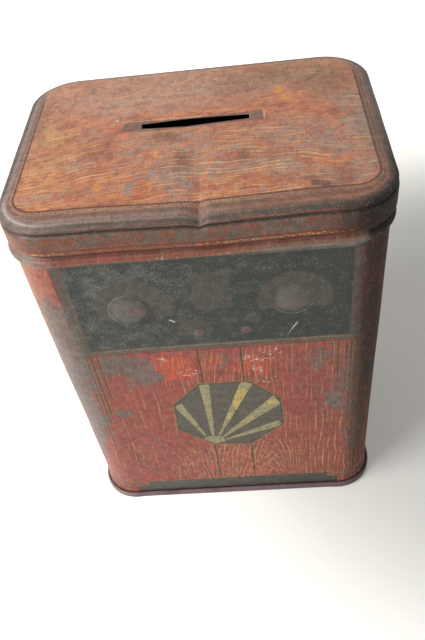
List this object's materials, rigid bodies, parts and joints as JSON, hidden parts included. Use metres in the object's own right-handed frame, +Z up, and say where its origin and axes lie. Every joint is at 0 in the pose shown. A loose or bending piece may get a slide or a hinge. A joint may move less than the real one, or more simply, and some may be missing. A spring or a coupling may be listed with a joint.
{
  "type": "tin money box",
  "caption": "Lithographed tin money box dressed as a table wireless cabinet, with a slip lid that carries the coin slot and a folded seam for a foot.",
  "frame": {"origin": "on the ground, at the centre of the foot", "axes": "+Z up, -Y out of the printed front, +X to the right of someone who looks at the front"},
  "size_m": [0.1132, 0.0832, 0.148],
  "materials": {
    "printed_body": "satin lithographed red woodgrain print on tinplate, rubbed and chipped along its edges",
    "base_tin": "dark lacquered tinplate, worn to bare metal in places",
    "printed_lid": "satin lithographed orange-brown woodgrain print on tinplate, scuffed grey"
  },
  "bodies": {
    "body": {"body_wrap": "printed_body", "base_pan": "base_tin"},
    "lid": {"lid": "printed_lid"}
  },
  "joints": [
    {"name": "lid_lift", "type": "slide", "parent": "body", "child": "lid", "axis": [0, 0, 1], "range_m": [0, 0.03]}
  ]
}
